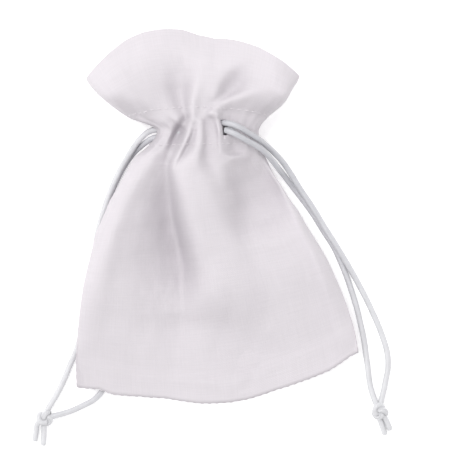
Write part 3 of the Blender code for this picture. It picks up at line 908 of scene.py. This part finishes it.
def thread_material(name):
    """Twisted cotton thread, its colour darkened as painted shade to match the cloth's painted
    hollow shade.
    """
    material, tree, shader = new_material(name)
    vector, along, turn = place_axes(tree)
    slant = math_node(tree, "ADD", math_node(tree, "MULTIPLY", along, PLY_TWIST), turn)
    fuzz = noise_at(tree, vector, (3.0, 1.0, 1.0), 2.0)
    color = mix_colors(tree, fuzz, *THREAD_SHADE_TONES)
    tree.links.new(color, shader.inputs["Base Color"])
    set_inputs(shader, {"Roughness": 0.6})
    add_bump(tree, shader, math_node(tree, "SINE", slant), 0.6, 0.05)
    return material


# ---- The cloth and the free cords, made ----


def keep_with_cloth(piece, slot, *nodes):
    """Fix a piece's place into its mesh and hide the CAD parts that it stands for. Its slot is not
    used.
    """
    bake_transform(piece)
    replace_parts(piece, *nodes)


cloth = cloth_material("thin_woven_cloth", POUCH_TONES, CLOTH_THROUGH)
facing_cloth = cloth_material("facing_cloth", FACING_TONES, CLOTH_THROUGH)
satin = satin_material("satin_cord")

add_cords(satin)
grid_along = np.concatenate([BODY_ROWS, NECK_ROWS])
outer_cloth = folded_form(grid_along)
outer_normals = grid_normals(outer_cloth)
pouch, grid, grid_u, grid_v = add_pouch(outer_cloth, outer_normals, grid_along, cloth)
facing = add_facing(outer_cloth, outer_normals, grid_along, grid_u, grid_v, facing_cloth)
keep_with_cloth(pouch, "pouch_cloth", "back_panel", "front_panel", "back_casing", "front_casing",
                "right_neck_fold", "back_frill", "front_frill")
keep_with_cloth(facing, "facing_cloth", "back_facing", "front_facing")

# ---- Stitches, tacks, seam allowances and the cords inside the casing ----

STITCH = 1.7
STITCH_STEP = 2.5
STITCH_START = 0.2
THREAD = 0.14
THREAD_SIDES = 6
# A stitch's shape: shares along it, and how far out it stands in thread radii
STITCH_SHARES = np.array([0, 0.12, 0.32, 0.5, 0.68, 0.88, 1.0])
STITCH_RISE = np.array([-1.5, -0.2, 0.75, 0.9, 0.75, -0.2, -1.5])
SEAM_DEPTH = 0.22  # a turned seam's stitches lie this deep between the two cloths

TACK_STITCHES = 5
TACK_STEP = 0.24
TACK_HALF = 0.6
TACK_SINK = 0.08
TACK_BARS = 0.3  # how far from the middle the two bars lie that the close stitches cover

grid_out = grid_normals(grid)


def merged(name, parts, material):
    """One mesh from several (points, faces, uvs)."""
    points, faces, uvs, start = [], [], [], 0
    for part_points, part_faces, part_uvs in parts:
        points.append(part_points)
        uvs.append(part_uvs)
        faces += [tuple(i + start for i in face) for face in part_faces]
        start += len(part_points)
    return mesh_object(name, np.vstack(points), faces, np.vstack(uvs), material)


def thread_bit(start, end, out):
    """One stitch: a short thread whose ends dip into the cloth."""
    line = start + (end - start) * STITCH_SHARES[:, None] + out * STITCH_RISE[:, None] * THREAD
    along = unit(end - start)
    sideways = unit(np.cross(along, out))
    lifted = np.cross(sideways, along)
    sides = THREAD_SIDES
    angles = np.linspace(0, 2 * np.pi, sides, endpoint=False)
    ring = np.cos(angles)[:, None] * sideways + np.sin(angles)[:, None] * lifted
    points = (line[:, None] + ring[None] * THREAD).reshape(-1, 3)
    faces = grid_faces(len(line), sides)
    faces += [tuple(range(sides))[::-1], tuple(len(points) - sides + i for i in range(sides))]
    uvs = np.stack([np.repeat(STITCH_SHARES * STITCH, sides), np.tile(angles, len(line))], axis=1)
    return points, faces, uvs


def stitch_row(name, stands_for, line, normals, material):
    """Stitches an even step apart along a line on the cloth."""
    along = travelled(line)
    parts = []
    for k in range(int((along[-1] - STITCH) / STITCH_STEP) + 1):
        ends = [k * STITCH_STEP + STITCH_START, k * STITCH_STEP + STITCH_START + STITCH]
        start, end = places_at(line, along, ends)
        out = places_at(normals, along, sum(ends) / 2)
        parts.append(thread_bit(start, end, unit(out)))
    keep_with_cloth(merged(name, parts, material), "sewing_thread", stands_for)


def row_at(place):
    return int(np.argmin(np.abs(grid_along - place)))


def casing_stitches(material):
    """The casing's lower and upper rows, front and back."""
    for word, first in (("front", 0), ("back", PER_SIDE)):
        part = slice(first + 4, first + PER_SIDE - 3)
        for level, place in (("lower", CASING_LOW), ("upper", CASING_HIGH)):
            r = row_at(place)
            stitch_row(f"{word}_{level}_stitching", f"{word}_{level}_casing_stitch",
                       grid[r, part], grid_out[r, part], material)


def rim_stitches(material):
    """The rows that close the left and right rims, below the neck and in the frill."""
    stretches = {
        "side": (BOTTOM + 1.5, CASING_LOW - 2.8), "frill": (CASING_HIGH + 1.5, FRILL_EDGE - 1),
    }
    for word, column in (("left", 0), ("right", PER_SIDE)):
        for stretch, (low, high) in stretches.items():
            part = slice(row_at(low), row_at(high) + 1)
            out = grid_out[part, column]
            stitch_row(f"{word}_{stretch}_stitching", f"{word}_{stretch}_stitch",
                       grid[part, column] - out * SEAM_DEPTH, out, material)


def bottom_stitches(material):
    mirror = (ROUND - np.arange(PER_SIDE + 1)) % ROUND
    edge = ((grid[0, : PER_SIDE + 1] + grid[0, mirror]) / 2)[3:-3]
    down = np.tile([0.0, -1.0, 0.0], (len(edge), 1))
    stitch_row("bottom_stitching", "bottom_stitch", edge, down, material)


def add_tacks(material):
    """A bar tack at the lower end of each exit: close stitches over and over."""
    spots = {
        "left_exit_tack": (row_at(FACING_EDGE), 2),
        "right_exit_tack": (row_at(EXITS[0][0][0] - 0.5), EXITS[0][1][0] + 2),
    }
    for name, (r, c) in spots.items():
        out = grid_out[r, c]
        across = unit(grid[r, c + 2] - grid[r, c - 2])
        up = np.cross(out, across)
        bits = [
            (up * (k - TACK_STITCHES // 2) * TACK_STEP - out * TACK_SINK, across)
            for k in range(TACK_STITCHES)
        ]
        bits += [(across * side * TACK_BARS, up) for side in (-1, 1)]
        parts = []
        for shift, way in bits:
            middle = grid[r, c] + shift
            parts.append(thread_bit(middle - way * TACK_HALF, middle + way * TACK_HALF, out))
        keep_with_cloth(merged(name + "_threads", parts, material), "sewing_thread", name)


ALLOWANCE_PLY = 0.25
ALLOWANCE = 8.0
ALLOWANCE_GAP = 0.12  # between the cloth's inside and the allowance
BOTTOM_TEETH = 23
TOOTH = 1.1


def raw_edge(name, points, material):
    """A strip of cloth from a grid of points, which stands for the seam allowance of its name."""
    rows, count = points.shape[:2]
    faces = [
        (r * count + c, r * count + c + 1, (r + 1) * count + c + 1, (r + 1) * count + c)
        for r in range(rows - 1) for c in range(count - 1)
    ]
    points = points.reshape(-1, 3)
    piece = mesh_object(name, points, faces, points[:, :2], material)
    thicken(piece, ALLOWANCE_PLY)
    keep_with_cloth(piece, "seam_allowance", name.replace("raw_edge", "seam_allowance"))


def bottom_allowance(inside, material):
    """The bottom seam's raw edge, turned up inside against the front, with a pinked edge."""
    low, high = row_at(BOTTOM + 1.4), row_at(BOTTOM + ALLOWANCE + 1.4)
    points = inside[low : high + 1, 8 : PER_SIDE - 7].copy()
    teeth = np.abs(np.linspace(0, 2 * BOTTOM_TEETH, points.shape[1]) % 2 - 1) * TOOTH
    points[-1, :, 1] -= teeth
    raw_edge("bottom_raw_edge", points, material)


def side_allowance(word, columns_in, inside, material):
    """A side seam's raw edge, inside against the front. The columns run in from the rim."""
    shares = np.linspace(0, 1, 8)
    points = []
    for k, r in enumerate(range(row_at(BOTTOM + ALLOWANCE + 3.5), row_at(CASING_LOW - 6))):
        line = inside[r, list(columns_in)]
        tooth = abs(k % 2 - 0.5) * 1.2
        wanted = 0.6 + shares * (ALLOWANCE - 1.6 - tooth)
        points.append(places_at(line, travelled(line), wanted))
    points = np.array(points)
    if word == "right":
        points = points[:, ::-1]
    raw_edge(f"{word}_raw_edge", points, material)


def add_allowances(material):
    inside = grid - grid_out * (CLOTH + ALLOWANCE_GAP)
    bottom_allowance(inside, material)
    side_allowance("left", range(2, 22), inside, material)
    side_allowance("right", range(PER_SIDE - 2, PER_SIDE - 22, -1), inside, material)


# Each cord in the casing: how far above its middle, and from and to which turn round the neck
LOOPS = {"right": (1.25, 17, -326), "left": (-1.25, -106, -434)}
LOOP_DEPTH = (1.9, 2.3)  # under the cloth at the exit, and how much more inside


def add_loop(side, material):
    """A cord runs right round the neck in the casing, deeper than the folds reach."""
    above, start, end = LOOPS[side]
    place = CASING_MIDDLE + above
    form = base_form(np.array([place - 0.4, place, place + 0.4]))
    column = (np.linspace(start, end, 90) + 90) / 360 * ROUND
    low = np.floor(column).astype(int)
    share = (column - low)[:, None]
    ring, out = (
        rows[1][low % ROUND] * (1 - share) + rows[1][(low + 1) % ROUND] * share
        for rows in (form, grid_normals(form))
    )
    travelled_share = np.linspace(0, 1, len(ring))
    deep = smooth(np.minimum(travelled_share, 1 - travelled_share) / 0.1)
    line = ring - out * (LOOP_DEPTH[0] + LOOP_DEPTH[1] * deep)[:, None]
    begin, finish = (np.array(STRANDS[f"{side}_cord_{word}"][0]) for word in ("outer", "inner"))
    line = smooth_line(np.vstack([begin, line[4:-4], finish]), 4)
    loop = tube(f"{side}_cord_in_casing", evenly(line, CORD_STEP), CORD_RADIUS, material)
    keep_with_cloth(loop, "satin_cord", f"{side}_cord_loop")


thread = thread_material("sewing_thread")
raw_edge_cloth = cloth_material("raw_edge_cloth", RAW_EDGE_TONES, RAW_EDGE_THROUGH)
casing_stitches(thread)
rim_stitches(thread)
bottom_stitches(thread)
add_tacks(thread)
add_allowances(raw_edge_cloth)
add_loop("right", satin)
add_loop("left", satin)

# ---- Floor and light ----

FLOOR_HALF = 1.5
KEY_PLACE = (-0.38, 0.45, 1.12)
KEY_SIZE = 0.6
KEY_POWER = 8.5
STUDIO_STRENGTH = 0.88


def add_floor():
    mesh = bpy.data.meshes.new("floor")
    corners = [(x * FLOOR_HALF, y * FLOOR_HALF, 0) for x, y in ((-1, -1), (1, -1), (1, 1), (-1, 1))]
    mesh.from_pydata(corners, [], [(0, 1, 2, 3)])
    material, _, shader = new_material("floor")
    set_inputs(shader, {
        "Base Color": (0.95, 0.95, 0.95, 1), "Roughness": 0.9, "Specular IOR Level": 0.1,
        "Emission Color": (1, 1, 1, 1), "Emission Strength": 0.3,
    })
    mesh.materials.append(material)
    link(bpy.data.objects.new("floor", mesh))


def add_key_light():
    data = bpy.data.lights.new("key", "AREA")
    data.size = KEY_SIZE
    data.energy = KEY_POWER
    light = link(bpy.data.objects.new("key", data))
    light.location = KEY_PLACE
    light.rotation_euler = (-Vector(KEY_PLACE)).to_track_quat("-Z", "Y").to_euler()


def add_studio():
    world = bpy.data.worlds.new("studio")
    bpy.context.scene.world = world
    world.use_nodes = True
    background = world.node_tree.nodes["Background"]
    set_inputs(background, {"Color": (1, 1, 1, 1), "Strength": STUDIO_STRENGTH})


add_floor()
add_key_light()
add_studio()
bpy.context.scene.view_settings.view_transform = "Standard"
